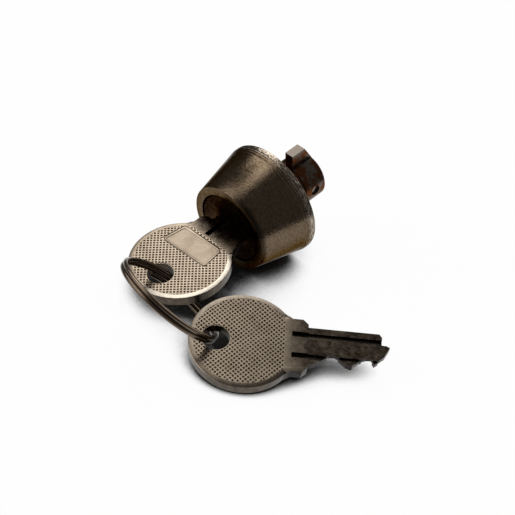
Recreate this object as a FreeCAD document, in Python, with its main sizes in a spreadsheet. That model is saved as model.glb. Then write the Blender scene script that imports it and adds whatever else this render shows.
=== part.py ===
import FreeCAD
import Part
import Sketcher
import math
import os
import re

# A hitch lock head with its cam, wafers, key in the lock and a spare key on a split ring.
# Frame: origin at the centre of the collar's rear shoulder, +Z up from the floor it lies on,
# +Y towards the pin. Lengths in millimetres, angles in degrees.
SIZES = (
    # Collar, a cone with a straight strip at its wide rear edge
    ("collar_length", 14.5),
    ("collar_front_radius", 11.25),
    ("collar_rear_radius", 14.5),
    ("rear_strip", 0.9),
    ("collar_edge", 0.25),
    ("lip_length", 1.4),
    ("lip_width", 1.0),
    # Plug, the turning core that holds the wafers
    ("plug_radius", 7.0),
    ("head_gap", 0.45),
    ("head_thickness", 1.8),
    ("head_recess", 0.2),
    ("head_dish", 0.4),
    ("head_seat_gap", 0.1),
    ("tail_seat_gap", 0.1),
    ("plug_body_end", 1.0),
    ("nose_radius", 5.25),
    ("nose_floor", 0.6),
    ("spindle_radius", 3.5),
    ("spindle_inset", 0.4),
    ("turning_fit", 0.05),
    # Barrel, fixed in the collar, with the spigot that passes through the coupling
    ("barrel_wall", 2.05),
    ("seat_fit", 0.05),
    ("pin_radius", 6.0),
    ("spigot_length", 6.0),
    ("barrel_pin_radius", 1.1),
    ("barrel_pin_place", 6.0),
    ("barrel_pin_gap", 0.45),
    ("barrel_pin_sink", 0.5),
    # Cam with its lug, cross pin and stop pin
    ("cam_gap", 0.2),
    ("cam_length", 6.6),
    ("cam_edge", 0.3),
    ("lug_width", 2.44),
    ("lug_top", 9.85),
    ("lug_flat_length", 4.2),
    ("lug_foot", 1.2),
    ("cross_pin_radius", 1.3),
    ("cross_pin_inset", 0.7),
    ("cross_pin_place", 3.05),
    ("stop_pin_radius", 0.6),
    ("stop_pin_circle", 4.8),
    ("stop_pin_depth", 2.0),
    ("stop_pin_reach", 1.1),
    ("stop_slot_fit", 0.08),
    ("pin_fit", 0.02),
    # Wafers and their springs
    ("wafer_thickness", 1.0),
    ("wafer_first", 1.7),
    ("wafer_last", 1.4),
    ("wafer_half_height", 3.8),
    ("wafer_flat", 2.0),
    ("wafer_inset", 0.1),
    ("wafer_travel", 0.7),
    ("wafer_fit", 0.05),
    ("window_fit", 0.15),
    ("ear_height", 1.5),
    ("ear_back", 0.9),
    ("ear_front", 0.5),
    ("spring_radius", 0.5),
    ("spring_bore", 0.28),
    ("spring_wall", 0.4),
    ("spring_fit", 0.06),
    # Key, measured from the centre of its round bow
    ("bow_radius", 12.0),
    ("key_thickness", 2.6),
    ("blade_thickness", 1.8),
    ("bow_rim", 1.05),
    ("face_recess", 0.15),
    ("field_end", 9.3),
    ("hole_radius", 3.15),
    ("hole_offset", 6.0),
    ("wing_half_width", 6.75),
    ("wing_start", 9.6),
    ("wing_length", 4.6),
    ("wing_corner", 1.2),
    ("wing_foot", 1.7),
    ("wing_foot_end", 10.68),
    ("blade_back", 5.01),
    ("blade_front", 4.58),
    ("nose_length", 1.38),
    ("nose_height", 1.69),
    ("notch_depth", 1.74),
    ("notch_height", 2.6),
    ("corner_height", 4.21),
    ("corner_length", 0.57),
    ("key_fit", 0.08),
    ("tip_gap", 0.3),
    ("top_groove_inner", 0.6),
    ("top_groove_outer", 2.0),
    ("top_groove_start", 9.7),
    ("back_groove_inner", 2.1),
    ("back_groove_outer", 3.45),
    ("front_groove_inner", 2.0),
    ("front_groove_outer", 3.3),
    ("under_groove_start", 10.6),
    ("groove_depth", 0.6),
    ("bow_edge", 0.2),
    # Where the keys lie
    ("key_place", 30.06),
    # Split ring through both keys' holes
    ("ring_radius", 12.95),
    ("ring_wire", 0.85),
    ("ring_gap", 0.42),
    ("ring_pull", 0.65),
    # How far a cutting shape runs past the face it starts from
    ("overrun", 1.0),
)

ANGLES = (
    # How far the plug and its cam turn
    ("turn_angle", 90),
    # How the spare key and the split ring lie
    ("spare_yaw_angle", 43.09),
    ("spare_tilt_angle", 1.95),
    ("spare_roll_angle", 15.9),
    ("ring_heading_angle", -9.83),
    ("ring_dip_angle", -3.39),
    ("ring_lean_angle", 39.8),
    ("ring_reach_angle", 28.2),
    ("ring_seam_angle", 202.0),
)

# Bitting from the shoulder to the tip: step along the blade, height left below its centre line
BITTING = (
    (1.34, 4.16),
    (3.25, 1.74),
    (1.27, 1.60),
    (0.92, 2.02),
    (1.60, 3.46),
    (0.88, 3.85),
    (0.52, 3.89),
    (1.60, 2.19),
    (1.47, 1.57),
    (1.10, 1.49),
    (0.73, 2.73),
    (2.02, 0.93),
)

# Bare panel on one face of the bow: across, along
PANEL = (
    (-6.2, 2.9),
    (-6.6, 8.0),
    (5.6, 8.2),
    (7.2, 1.3),
)

WAFER_COUNT = 5
HALF_TURNS = 4
GAP_POINTS = 241

doc = FreeCAD.newDocument("hitch_lock")
sheet = doc.addObject("Spreadsheet::Sheet", "Sizes")
names = []
subparts = []


def store(name, value):
    names.append(name)
    row = len(names)
    sheet.set("A%d" % row, name)
    sheet.set("B%d" % row, str(value))
    sheet.setAlias("B%d" % row, name)


def bound(text):
    # Words that are size names become references to the sheet
    known = set(names)
    return re.sub(r"[a-z][a-z0-9_]*", lambda word: "Sizes." + word.group() if word.group() in known
                  else word.group(), text)


def size(text):
    return float(sheet.evalExpression(bound(text)))


# Distances that follow from the sizes above, as expressions
BARREL_RADIUS = "(plug_radius + turning_fit + barrel_wall)"
COLLAR_BORE = "(plug_radius + turning_fit + barrel_wall + seat_fit)"
HEAD_RADIUS = "(plug_radius + turning_fit + barrel_wall + seat_fit - head_gap)"
HEAD_FRONT = "(head_recess - collar_length)"
HEAD_BACK = "(head_recess - collar_length + head_thickness)"
BARREL_FRONT = "(head_recess - collar_length + head_thickness + head_seat_gap)"
CAM_START = "(spigot_length + cam_gap)"
CAM_END = "(spigot_length + cam_gap + cam_length)"
CROSS_PLACE = "(spigot_length + cam_gap + cross_pin_place)"
WING_END = "(wing_start + wing_length)"
LAST_CUT = WING_END[:-1] + "".join(" + step_%d" % (i + 1) for i in range(len(BITTING))) + ")"
KEYWAY_END = "(" + LAST_CUT + " + nose_length - key_place + tip_gap)"
NOSE_END = "(" + KEYWAY_END + " + nose_floor)"
WAFER_EDGE = "(plug_radius - wafer_inset)"
SLOT_REACH = "(plug_radius + wafer_travel + wafer_fit)"
EAR_MIDDLE = "(wafer_half_height + ear_height / 2)"
SPRING_LENGTH = ("(sqrt((plug_radius - spring_wall) ^ 2 - (%s + spring_radius) ^ 2)"
                 " - ear_back - wafer_fit)" % EAR_MIDDLE)
WAFER_PITCH = ("((0 - plug_body_end - wafer_last - wafer_first - %s) / %d)"
               % (HEAD_BACK, WAFER_COUNT - 1))
BARREL_PIN_INNER = "(plug_radius + turning_fit + barrel_pin_gap)"


def new_body(label):
    body = doc.addObject("PartDesign::Body", label)
    body.Label = label
    subparts.append(body)
    return body


def origin_item(body, role):
    return [item for item in body.Origin.OriginFeatures if item.Role == role][0]


def new_sketch(body, name, plane, offset):
    sketch = body.newObject("Sketcher::SketchObject", name)
    sketch.AttachmentSupport = [(origin_item(body, plane), "")]
    sketch.MapMode = "FlatFace"
    sketch.setExpression("AttachmentOffset.Base.z", bound(offset))
    return sketch


def pin_point(sketch, line, end, across, along):
    for kind, text in (("DistanceX", across), ("DistanceY", along)):
        constraint = Sketcher.Constraint(kind, -1, 1, line, end, size(text))
        number = sketch.addConstraint(constraint)
        sketch.setExpression("Constraints[%d]" % number, bound(text))


def outline(body, name, plane, loops, offset="0"):
    # Closed loops of straight lines, each corner tied to the sheet
    sketch = new_sketch(body, name, plane, offset)
    for corners in loops:
        first = sketch.GeometryCount
        count = len(corners)
        places = [FreeCAD.Vector(size(x), size(y), 0) for x, y in corners]
        for i in range(count):
            sketch.addGeometry(Part.LineSegment(places[i], places[(i + 1) % count]), False)
        for i in range(count):
            following = first + (i + 1) % count
            sketch.addConstraint(Sketcher.Constraint("Coincident", first + i, 2, following, 1))
        for i, (x, y) in enumerate(corners):
            pin_point(sketch, first + i, 1, x, y)
    return sketch


def circles(body, name, plane, rounds, offset="0"):
    # Full circles, each with its centre and radius tied to the sheet
    sketch = new_sketch(body, name, plane, offset)
    for x, y, radius in rounds:
        centre = FreeCAD.Vector(size(x), size(y), 0)
        number = sketch.addGeometry(Part.Circle(centre, FreeCAD.Vector(0, 0, 1), size(radius)), False)
        pin_point(sketch, number, 3, x, y)
        constraint = sketch.addConstraint(Sketcher.Constraint("Radius", number, size(radius)))
        sketch.setExpression("Constraints[%d]" % constraint, bound(radius))
    return sketch


def box_loop(left, right, low, high):
    return [(left, low), (right, low), (right, high), (left, high)]


def revolved(body, sketch):
    feature = body.newObject("PartDesign::Revolution", sketch.Name + "_turned")
    feature.Profile = sketch
    feature.ReferenceAxis = (sketch, ["V_Axis"])
    feature.Angle = 360
    body.Tip = feature
    return feature


def extruded(body, sketch, kind, length, side="Symmetric", reverse=False):
    feature = body.newObject("PartDesign::" + kind, sketch.Name + "_" + kind.lower())
    feature.Profile = sketch
    feature.SideType = side
    feature.Reversed = reverse
    feature.setExpression("Length", bound(length))
    body.Tip = feature
    return feature


def cut(body, sketch, length, side="Symmetric", reverse=False):
    # A cut has to take material away
    doc.recompute()
    before = body.Shape.Volume
    feature = extruded(body, sketch, "Pocket", length, side, reverse)
    doc.recompute()
    if not body.Shape.Volume < before - 1e-6:
        raise RuntimeError(sketch.Name + " cuts nothing")
    return feature


def chamfered(body, length, test):
    doc.recompute()
    edges = ["Edge%d" % (i + 1) for i, edge in enumerate(body.Shape.Edges) if test(edge)]
    base = body.Tip
    feature = body.newObject("PartDesign::Chamfer", body.Name + "_edge")
    feature.Base = (base, edges)
    feature.setExpression("Size", bound(length))
    body.Tip = feature
    return feature


def repeated(body, features, spacing, count):
    pattern = body.newObject("PartDesign::LinearPattern", features[0].Name + "_row")
    pattern.Originals = features
    pattern.Direction = (origin_item(body, "Y_Axis"), [""])
    pattern.Mode = "Spacing"
    pattern.setExpression("Offset", bound(spacing))
    pattern.Occurrences = count
    body.Tip = pattern
    return pattern


def wafer_place(index):
    return "(%s + wafer_first + %d * %s)" % (HEAD_BACK, index, WAFER_PITCH)


def make_collar():
    body = new_body("head_collar")
    lip = "(%s - lip_width)" % COLLAR_BORE
    profile = outline(body, "collar_profile", "XY_Plane", [[
        (COLLAR_BORE, "-collar_length"),
        ("collar_front_radius - collar_edge", "-collar_length"),
        ("collar_front_radius", "collar_edge - collar_length"),
        ("collar_rear_radius", "-rear_strip"),
        ("collar_rear_radius", "-collar_edge"),
        ("collar_rear_radius - collar_edge", "0"),
        (lip, "0"),
        (lip, "-lip_length"),
        (COLLAR_BORE, "-lip_length"),
    ]])
    revolved(body, profile)
    hole = circles(body, "collar_pin_hole", "YZ_Plane",
                   [("-barrel_pin_place", "0", "barrel_pin_radius + pin_fit")])
    cut(body, hole, "collar_rear_radius + overrun", "One side", False)


def make_barrel():
    body = new_body("barrel")
    bore = "(plug_radius + turning_fit)"
    step = "(%s - lip_width)" % BARREL_RADIUS
    nose_bore = "(nose_radius + turning_fit)"
    tail_bore = "(spindle_radius + turning_fit)"
    profile = outline(body, "barrel_profile", "XY_Plane", [[
        (bore, BARREL_FRONT),
        (BARREL_RADIUS, BARREL_FRONT),
        (BARREL_RADIUS, "-lip_length - seat_fit"),
        (step, "-lip_length - seat_fit"),
        (step, "0"),
        ("pin_radius", "0"),
        ("pin_radius", "spigot_length"),
        (tail_bore, "spigot_length"),
        (tail_bore, NOSE_END + " + tail_seat_gap"),
        (nose_bore, NOSE_END + " + tail_seat_gap"),
        (nose_bore, "tail_seat_gap - plug_body_end"),
        (bore, "tail_seat_gap - plug_body_end"),
    ]])
    revolved(body, profile)
    front = BARREL_FRONT + " - overrun"
    last = wafer_place(WAFER_COUNT - 1) + " + wafer_thickness / 2 + wafer_fit * 2"
    half = "wafer_half_height + wafer_fit * 2"
    side_slot = outline(body, "side_slot", "XY_Plane", [box_loop("0", SLOT_REACH, front, last)])
    cut(body, side_slot, "2 * (%s)" % half)
    low_slot = outline(body, "low_slot", "YZ_Plane", [box_loop(front, last, "-" + SLOT_REACH, "0")])
    cut(body, low_slot, "2 * (%s)" % half)
    hole = circles(body, "barrel_pin_hole", "YZ_Plane",
                   [("-barrel_pin_place", "0", "barrel_pin_radius + pin_fit")])
    cut(body, hole, "collar_rear_radius", "One side", False)
    stop = circles(body, "stop_pin_hole", "XZ_Plane",
                   [("-stop_pin_circle", "0", "stop_pin_radius + pin_fit")],
                   "stop_pin_depth - spigot_length")
    cut(body, stop, "stop_pin_depth + overrun", "One side", False)


def make_plug():
    body = new_body("plug")
    profile = outline(body, "plug_profile", "XY_Plane", [[
        ("0", HEAD_FRONT + " + head_dish"),
        (HEAD_RADIUS, HEAD_FRONT),
        (HEAD_RADIUS, HEAD_BACK),
        ("plug_radius", HEAD_BACK),
        ("plug_radius", "-plug_body_end"),
        ("nose_radius", "-plug_body_end"),
        ("nose_radius", NOSE_END),
        ("spindle_radius", NOSE_END),
        ("spindle_radius", CAM_END + " - spindle_inset"),
        ("0", CAM_END + " - spindle_inset"),
    ]])
    revolved(body, profile)
    upper = "(blade_thickness / 2 + key_fit)"
    ridge = "(blade_thickness / 2 + key_fit * 2 - groove_depth)"
    keyway = outline(body, "keyway", "XZ_Plane", [[
        ("-blade_front - key_fit", "-" + upper),
        ("-front_groove_outer + key_fit", "-" + upper),
        ("-front_groove_outer + key_fit", "-" + ridge),
        ("-front_groove_inner - key_fit", "-" + ridge),
        ("-front_groove_inner - key_fit", "-" + upper),
        ("back_groove_inner + key_fit", "-" + upper),
        ("back_groove_inner + key_fit", "-" + ridge),
        ("back_groove_outer - key_fit", "-" + ridge),
        ("back_groove_outer - key_fit", "-" + upper),
        ("blade_back + key_fit", "-" + upper),
        ("blade_back + key_fit", upper),
        ("-top_groove_inner - key_fit", upper),
        ("-top_groove_inner - key_fit", ridge),
        ("-top_groove_outer + key_fit", ridge),
        ("-top_groove_outer + key_fit", upper),
        ("-blade_front - key_fit", upper),
    ]], "-" + KEYWAY_END)
    cut(body, keyway, KEYWAY_END + " - " + HEAD_FRONT + " + overrun", "One side", True)
    slot_half = "(wafer_half_height + wafer_fit)"
    ear_top = "(wafer_half_height + ear_height + wafer_fit)"
    wafer_slot = outline(body, "wafer_slot", "XZ_Plane", [[
        ("-plug_radius - overrun", "-" + slot_half),
        ("plug_radius + overrun", "-" + slot_half),
        ("plug_radius + overrun", slot_half),
        ("ear_front + wafer_travel + wafer_fit", slot_half),
        ("ear_front + wafer_travel + wafer_fit", ear_top),
        ("-ear_back - wafer_fit", ear_top),
        ("-ear_back - wafer_fit", slot_half),
        ("-plug_radius - overrun", slot_half),
    ]], "-" + wafer_place(0))
    slot = cut(body, wafer_slot, "wafer_thickness + wafer_fit * 2")
    spring_hole = circles(body, "spring_hole", "YZ_Plane",
                          [(wafer_place(0), EAR_MIDDLE, "spring_radius + spring_fit")],
                          "-ear_back")
    hole = cut(body, spring_hole, SPRING_LENGTH + " + spring_fit", "One side", False)
    repeated(body, [slot, hole], WAFER_PITCH, WAFER_COUNT)
    cross = circles(body, "plug_cross_hole", "YZ_Plane",
                    [(CROSS_PLACE, "0", "cross_pin_radius + pin_fit")])
    cut(body, cross, "pin_radius * 2")


def make_cam():
    body = new_body("lug_cam")
    bore = "(spindle_radius + pin_fit)"
    profile = outline(body, "cam_profile", "XY_Plane", [[
        (bore, CAM_START),
        ("pin_radius", CAM_START),
        ("pin_radius", CAM_END + " - cam_edge"),
        ("pin_radius - cam_edge", CAM_END),
        (bore, CAM_END),
    ]])
    revolved(body, profile)
    lug = outline(body, "lug_profile", "YZ_Plane", [[
        (CAM_START, "pin_radius - lug_foot"),
        (CAM_START, "lug_top"),
        (CAM_START + " + lug_flat_length", "lug_top"),
        (CAM_END, "pin_radius - cam_edge"),
        (CAM_END, "pin_radius - lug_foot"),
    ]])
    extruded(body, lug, "Pad", "lug_width")
    cross = circles(body, "cam_cross_hole", "YZ_Plane",
                    [(CROSS_PLACE, "0", "cross_pin_radius + pin_fit")])
    cut(body, cross, "(pin_radius + overrun) * 2")
    slot_depth = "stop_pin_reach + stop_slot_fit - cam_gap"
    slot_radius = "(stop_pin_radius + stop_slot_fit)"
    ends = circles(body, "stop_slot_ends", "XZ_Plane",
                   [("-stop_pin_circle", "0", slot_radius), ("0", "-stop_pin_circle", slot_radius)],
                   "-" + CAM_START)
    cut(body, ends, slot_depth, "One side", False)
    section = outline(body, "stop_slot_section", "XY_Plane", [box_loop(
        "-stop_pin_circle - " + slot_radius,
        "-stop_pin_circle + " + slot_radius,
        CAM_START + " - overrun",
        CAM_START + " + " + slot_depth,
    )])
    groove = body.newObject("PartDesign::Groove", "stop_slot")
    groove.Profile = section
    groove.ReferenceAxis = (section, ["V_Axis"])
    groove.setExpression("Angle", bound("turn_angle"))
    groove.Reversed = True
    body.Tip = groove


def make_round_pin(label, plane, x, y, radius, offset, length, reverse=False):
    body = new_body(label)
    sketch = circles(body, label + "_circle", plane, [(x, y, radius)], offset)
    extruded(body, sketch, "Pad", length, "One side", reverse)


def make_pins():
    cone_slope = "((collar_rear_radius - collar_front_radius) / (collar_length - rear_strip))"
    surface = ("(collar_rear_radius - (barrel_pin_place - rear_strip) * %s)" % cone_slope)
    make_round_pin("barrel_pin", "YZ_Plane", "-barrel_pin_place", "0", "barrel_pin_radius",
                   "-" + BARREL_PIN_INNER, surface + " - barrel_pin_sink - " + BARREL_PIN_INNER, True)
    make_round_pin("cam_cross_pin", "YZ_Plane", CROSS_PLACE, "0", "cross_pin_radius",
                   "cross_pin_inset - pin_radius", "2 * (pin_radius - cross_pin_inset)")
    make_round_pin("stop_pin", "XZ_Plane", "-stop_pin_circle", "0", "stop_pin_radius",
                   "stop_pin_depth - spigot_length", "stop_pin_depth + stop_pin_reach", True)


def make_wafers():
    wide = "(sqrt(%s ^ 2 - wafer_flat ^ 2))" % WAFER_EDGE
    narrow = "(sqrt(%s ^ 2 - wafer_half_height ^ 2))" % WAFER_EDGE
    ear_top = "(wafer_half_height + ear_height)"
    plate = [
        ("-" + wide, "-wafer_flat"),
        ("-" + narrow, "-wafer_half_height"),
        (narrow, "-wafer_half_height"),
        (wide, "-wafer_flat"),
        (wide, "wafer_flat"),
        (narrow, "wafer_half_height"),
        ("ear_front", "wafer_half_height"),
        ("ear_front", ear_top),
        ("-ear_back", ear_top),
        ("-ear_back", "wafer_half_height"),
        ("-" + narrow, "wafer_half_height"),
        ("-" + wide, "wafer_flat"),
    ]
    window = box_loop("-blade_front - window_fit - wafer_travel", "blade_back + window_fit",
                      "-blade_thickness / 2 - window_fit", "blade_thickness / 2 + window_fit")
    for i in range(WAFER_COUNT):
        label = "wafer_%d" % (i + 1)
        body = new_body(label)
        sketch = outline(body, label + "_plate", "XZ_Plane", [plate, window], "-" + wafer_place(i))
        extruded(body, sketch, "Pad", "wafer_thickness")


def make_springs():
    for i in range(WAFER_COUNT):
        label = "wafer_spring_%d" % (i + 1)
        body = new_body(label)
        place = wafer_place(i)
        rounds = [(place, EAR_MIDDLE, "spring_radius"), (place, EAR_MIDDLE, "spring_bore")]
        sketch = circles(body, label + "_section", "YZ_Plane", rounds, "-ear_back - wafer_fit")
        extruded(body, sketch, "Pad", SPRING_LENGTH, "One side", True)


def field_outline(body, name, offset):
    # Sunk field of the bow: a circle inside the rim, cut straight before the shoulders
    sketch = new_sketch(body, name, "XY_Plane", offset)
    radius = size("bow_radius - bow_rim")
    chord = size("field_end")
    angle = math.asin(chord / radius)
    circle = Part.Circle(FreeCAD.Vector(0, 0, 0), FreeCAD.Vector(0, 0, 1), radius)
    sketch.addGeometry(Part.ArcOfCircle(circle, math.pi - angle, 2 * math.pi + angle), False)
    reach = radius * math.cos(angle)
    right = FreeCAD.Vector(reach, chord, 0)
    left = FreeCAD.Vector(-reach, chord, 0)
    sketch.addGeometry(Part.LineSegment(right, left), False)
    sketch.addConstraint(Sketcher.Constraint("Coincident", 0, 2, 1, 1))
    sketch.addConstraint(Sketcher.Constraint("Coincident", 1, 2, 0, 1))
    sketch.addConstraint(Sketcher.Constraint("Coincident", 0, 3, -1, 1))
    sketch.addConstraint(Sketcher.Constraint("Horizontal", 1))
    for kind, text in (("Radius", "bow_radius - bow_rim"), ("DistanceY", "field_end")):
        if kind == "Radius":
            number = sketch.addConstraint(Sketcher.Constraint(kind, 0, size(text)))
        else:
            number = sketch.addConstraint(Sketcher.Constraint(kind, -1, 1, 1, 1, size(text)))
        sketch.setExpression("Constraints[%d]" % number, bound(text))
    return sketch


def blade_loop():
    points = [("-blade_front", "wing_start"), ("-blade_front", WING_END)]
    along = WING_END
    for i in range(len(BITTING)):
        along += " + step_%d" % (i + 1)
        points.append(("-left_%d" % (i + 1), along))
    points += [
        ("nose_height", LAST_CUT + " + nose_length"),
        ("notch_height", LAST_CUT + " + nose_length - notch_depth"),
        ("corner_height", LAST_CUT + " + nose_length - notch_depth"),
        ("blade_back", LAST_CUT + " + nose_length - notch_depth - corner_length"),
        ("blade_back", "wing_start"),
    ]
    return points


def make_key(label):
    body = new_body(label)
    half = "key_thickness / 2"
    extruded(body, circles(body, label + "_bow", "XY_Plane", [("0", "0", "bow_radius")]),
             "Pad", "key_thickness")
    foot = "(wing_half_width + wing_foot)"
    foot_start = "(sqrt((bow_radius - bow_edge) ^ 2 - %s ^ 2))" % foot
    wing = [
        ("-" + foot, foot_start),
        ("-wing_half_width", "wing_foot_end"),
        ("-wing_half_width", WING_END + " - wing_corner"),
        ("wing_corner - wing_half_width", WING_END),
        ("wing_half_width - wing_corner", WING_END),
        ("wing_half_width", WING_END + " - wing_corner"),
        ("wing_half_width", "wing_foot_end"),
        (foot, foot_start),
    ]
    extruded(body, outline(body, label + "_wings", "XY_Plane", [wing]), "Pad", "key_thickness")
    extruded(body, outline(body, label + "_blade", "XY_Plane", [blade_loop()]), "Pad", "blade_thickness")
    cut(body, circles(body, label + "_hole", "XY_Plane", [("0", "-hole_offset", "hole_radius")]),
        "key_thickness + overrun")
    cut(body, field_outline(body, label + "_top_field", half), "face_recess", "One side", False)
    cut(body, field_outline(body, label + "_low_field", "-" + half), "face_recess", "One side", True)
    panel = outline(body, label + "_panel", "XY_Plane",
                    [[("panel_across_%d" % (i + 1), "panel_along_%d" % (i + 1))
                      for i in range(len(PANEL))]], half + " - face_recess")
    extruded(body, panel, "Pad", "face_recess", "One side", False)
    end = LAST_CUT + " + nose_length + overrun"
    top = outline(body, label + "_top_groove", "XY_Plane",
                  [box_loop("-top_groove_outer", "-top_groove_inner", "top_groove_start", end)], half)
    depth = "(key_thickness - blade_thickness) / 2 + groove_depth"
    cut(body, top, depth, "One side", False)
    low = outline(body, label + "_low_grooves", "XY_Plane",
                  [box_loop("-front_groove_outer", "-front_groove_inner", "under_groove_start", end),
                   box_loop("back_groove_inner", "back_groove_outer", "under_groove_start", end)],
                  "-" + half)
    cut(body, low, depth, "One side", True)
    rim = size("bow_radius")
    chamfered(body, "bow_edge", lambda edge: isinstance(edge.Curve, Part.Circle)
              and abs(edge.Curve.Radius - rim) < 1e-6)
    return body


def split_ring_path():
    # Half-turn arcs, each as wide as the ring and rising half a pitch
    pitch = size("ring_wire + ring_gap")
    radius = size("ring_radius")
    arcs = []
    for i in range(HALF_TURNS):
        side = 1 if i % 2 == 0 else -1
        low = (i - HALF_TURNS / 2) * pitch / 2
        start = FreeCAD.Vector(side * radius, 0, low)
        end = FreeCAD.Vector(-side * radius, 0, low + pitch / 2)
        middle = (start + end) / 2
        crest = middle - FreeCAD.Vector(0, side * (end - start).Length / 2, 0)
        arcs.append(Part.Arc(start, crest, end).toShape())
    return Part.Wire(arcs)


def least_gap(path):
    # Distance between points of the path that are more than a quarter turn apart, less the wire
    points = path.discretize(Number=GAP_POINTS)
    skip = len(points) // (HALF_TURNS * 2)
    least = min((points[i] - points[j]).Length for i in range(len(points))
                for j in range(i + skip, len(points)))
    return least - size("ring_wire")


def make_split_ring():
    path = split_ring_path()
    start = path.OrderedVertexes[0].Point
    circle = Part.Circle(start, FreeCAD.Vector(0, -1, 0), size("ring_wire / 2"))
    profile = Part.Wire([circle.toShape()])
    ring = doc.addObject("Part::Feature", "split_ring")
    ring.Label = "split_ring"
    ring.Shape = path.makePipeShell([profile], True, False)
    subparts.append(ring)
    print("split ring: least gap to itself %.3f mm" % least_gap(path))
    return ring


def axes_placement(base, x_axis, y_axis, z_axis):
    matrix = FreeCAD.Matrix(
        x_axis.x, y_axis.x, z_axis.x, base.x,
        x_axis.y, y_axis.y, z_axis.y, base.y,
        x_axis.z, y_axis.z, z_axis.z, base.z,
        0, 0, 0, 1)
    return FreeCAD.Placement(matrix)


def aimed(yaw, pitch):
    flat = math.cos(math.radians(pitch))
    return FreeCAD.Vector(flat * math.cos(math.radians(yaw)), flat * math.sin(math.radians(yaw)),
                          math.sin(math.radians(pitch)))


def lock_placement():
    # The cone lies on its side, so the lock's axis leans by the cone's half angle
    rise = size("collar_rear_radius - collar_front_radius")
    run = size("collar_length - rear_strip")
    return FreeCAD.Placement(FreeCAD.Vector(0, 0, 0), FreeCAD.Vector(1, 0, 0),
                             math.degrees(math.atan2(rise, run)))


def key_placement():
    return lock_placement().multiply(
        FreeCAD.Placement(FreeCAD.Vector(0, -size("key_place"), 0), FreeCAD.Rotation()))


def ring_axes():
    # Along the line between the two holes, across it towards the ring's centre, and the normal
    line = aimed(size("ring_heading_angle"), size("ring_dip_angle"))
    level = FreeCAD.Vector(0, 0, 1).cross(line).normalize()
    raised = line.cross(level)
    lean = math.radians(180 - size("ring_lean_angle"))
    across = level * math.cos(lean) + raised * math.sin(lean)
    return line, across, line.cross(across)


def ring_centre():
    hole = key_placement().multVec(FreeCAD.Vector(0, -size("hole_offset"), 0))
    line, across, normal = ring_axes()
    reach = math.radians(size("ring_reach_angle"))
    centre = hole + (line * math.cos(reach) + across * math.sin(reach)) * size("ring_radius")
    return centre + across * size("ring_pull")


def ring_placement():
    line, across, normal = ring_axes()
    seam = math.radians(size("ring_seam_angle"))
    start = line * math.cos(seam) + across * math.sin(seam)
    return axes_placement(ring_centre(), start, normal.cross(start), normal)


def spare_placement():
    # The spare key lies the other way up, its hole on the ring's circle
    line, across, normal = ring_axes()
    reach = math.radians(size("ring_reach_angle"))
    hole = ring_centre() + (line * math.cos(reach) - across * math.sin(reach)) * size("ring_radius")
    hole = hole - across * size("ring_pull")
    blade = aimed(size("spare_yaw_angle"), size("spare_tilt_angle"))
    level = FreeCAD.Vector(0, 0, 1).cross(blade).normalize()
    raised = blade.cross(level)
    roll = math.radians(size("spare_roll_angle"))
    back = level * math.cos(roll) + raised * math.sin(roll)
    centre = hole + blade * size("hole_offset")
    return axes_placement(centre, back, blade, back.cross(blade))


def check_objects():
    for item in doc.Objects:
        if "Invalid" in item.State or "Error" in item.State:
            raise RuntimeError(item.Name + " is in state " + ", ".join(item.State))
    for item in subparts:
        if item.Shape.isNull() or not item.Shape.isValid():
            raise RuntimeError(item.Label + " has no valid shape")
        if len(item.Shape.Solids) != 1:
            raise RuntimeError(item.Label + " is not one solid")


for name, value in SIZES + ANGLES:
    store(name, value)
for number, (step, left) in enumerate(BITTING):
    store("step_%d" % (number + 1), step)
    store("left_%d" % (number + 1), left)
for number, (across, along) in enumerate(PANEL):
    store("panel_across_%d" % (number + 1), across)
    store("panel_along_%d" % (number + 1), along)
doc.recompute()

make_collar()
make_barrel()
make_plug()
make_cam()
make_pins()
make_wafers()
make_springs()
doc.recompute()
for item in subparts:
    item.Placement = lock_placement()
make_key("key_in_lock").Placement = key_placement()
make_key("spare_key").Placement = spare_placement()
make_split_ring().Placement = ring_placement()
doc.recompute()
check_objects()

os.makedirs("parts", exist_ok=True)
for item in subparts:
    item.Shape.exportStep("parts/" + item.Label + ".step")
    print("%-18s %8.1f mm3" % (item.Label, item.Shape.Volume))
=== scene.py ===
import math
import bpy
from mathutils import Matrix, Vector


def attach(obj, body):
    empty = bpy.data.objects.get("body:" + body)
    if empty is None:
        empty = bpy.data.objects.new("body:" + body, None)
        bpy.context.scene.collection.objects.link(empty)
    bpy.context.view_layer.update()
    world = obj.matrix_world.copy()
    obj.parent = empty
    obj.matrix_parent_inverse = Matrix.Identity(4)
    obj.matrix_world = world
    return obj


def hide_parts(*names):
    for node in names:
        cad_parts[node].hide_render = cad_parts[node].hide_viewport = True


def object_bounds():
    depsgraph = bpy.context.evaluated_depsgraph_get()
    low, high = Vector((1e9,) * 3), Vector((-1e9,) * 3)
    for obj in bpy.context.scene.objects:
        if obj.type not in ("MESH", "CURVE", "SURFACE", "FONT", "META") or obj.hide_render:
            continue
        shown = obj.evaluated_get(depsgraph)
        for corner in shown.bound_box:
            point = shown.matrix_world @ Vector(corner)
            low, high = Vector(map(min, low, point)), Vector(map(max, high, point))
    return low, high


bl_info = {
    "name": "Hitch Lock Head",
    "version": (1, 0, 0),
    "blender": (4, 5, 0),
    "location": "3D View > Sidebar > Hitch Lock",
    "description": "Dresses a hitch lock head, its two keys and their split ring",
    "category": "Object",
}

import bmesh
import bpy
from bpy.props import FloatProperty, FloatVectorProperty, IntProperty, PointerProperty
from mathutils import Matrix, Vector

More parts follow.
